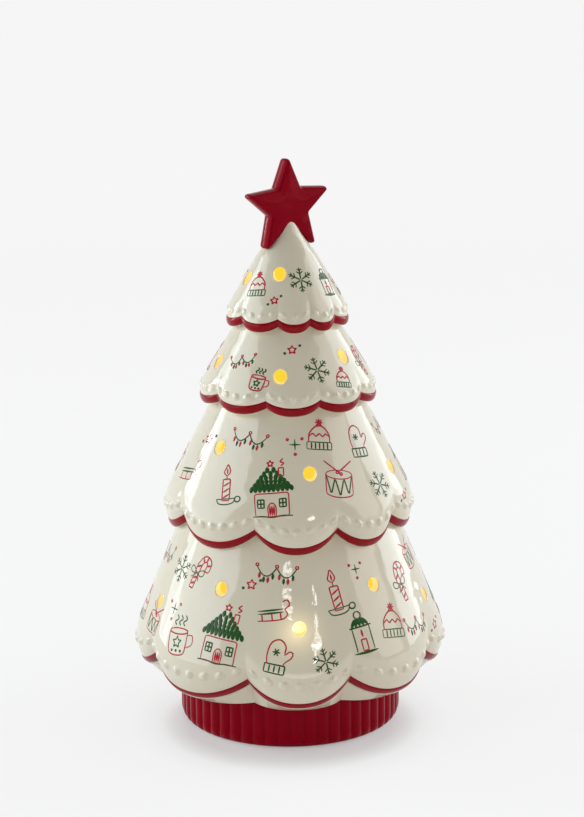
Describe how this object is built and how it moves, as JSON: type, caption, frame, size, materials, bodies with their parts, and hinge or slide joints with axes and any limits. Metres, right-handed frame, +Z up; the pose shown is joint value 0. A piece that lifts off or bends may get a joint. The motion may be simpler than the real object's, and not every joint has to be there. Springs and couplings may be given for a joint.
{
  "type": "led christmas tree",
  "caption": "Tabletop glazed ceramic tree with flared scalloped tiers, a star, a fluted base and a pull-out battery light unit.",
  "frame": {"origin": "on the surface the tree stands on, under its middle", "axes": "+Z up to the star, -Y to the front of the picture's view, +X to the right of that view"},
  "size_m": [0.1656, 0.1653, 0.3],
  "materials": {
    "ivory_glaze": "glossy ivory glaze with red and green printed line motifs",
    "red_glaze": "glossy deep red glaze",
    "white_plastic": "fine matte moulding",
    "black_plastic": "matte",
    "grey_rubber": "matte",
    "clear_silicone": "soft, slightly milky",
    "steel": "nickel plated",
    "cell_sleeve": "plain blue jacket with bare steel ends",
    "board_green": "solder mask",
    "lamp_epoxy": "lit warm white epoxy",
    "resistor_tan": "lacquered",
    "red_sleeve": "wire insulation"
  },
  "bodies": {
    "tree": {"tree_shell": "ivory_glaze", "hem_band_1": "red_glaze", "hem_band_2": "red_glaze", "hem_band_3": "red_glaze", "hem_band_4": "red_glaze", "star_topper": "red_glaze", "base_ring": "red_glaze", "foot_pad_1": "grey_rubber", "foot_pad_2": "grey_rubber", "foot_pad_3": "grey_rubber", "foot_pad_4": "grey_rubber"},
    "light_unit": {"module_plate": "white_plastic", "module_cover": "white_plastic", "seal_ring": "clear_silicone", "module_screw_1": "steel", "module_screw_2": "steel", "module_screw_3": "steel", "battery_1": "cell_sleeve", "battery_2": "cell_sleeve", "battery_3": "cell_sleeve", "battery_spring_1": "steel", "battery_spring_2": "steel", "battery_spring_3": "steel", "contact_negative": "steel", "contact_link_right": "steel", "contact_link_left": "steel", "contact_positive": "steel", "led_board": "board_green", "led_lamp": "lamp_epoxy", "led_holder": "black_plastic", "resistor": "resistor_tan", "switch_body": "black_plastic", "wire_red": "red_sleeve", "wire_black": "black_plastic", "wire_switch": "black_plastic"},
    "door": {"battery_door": "white_plastic"},
    "slider": {"switch_slider": "black_plastic"}
  },
  "joints": [
    {"name": "tree_lift_off", "type": "slide", "parent": "light_unit", "child": "tree", "axis": [0, 0, 1], "range_m": [0, 0.05]},
    {"name": "battery_door_hinge", "type": "hinge", "parent": "light_unit", "child": "door", "pos_m": [0, 0.01545, 0.002], "axis": [1, 0, 0], "range_deg": [0, 75]},
    {"name": "switch_slide", "type": "slide", "parent": "light_unit", "child": "slider", "axis": [1, 0, 0], "range_m": [0, 0.004]}
  ]
}
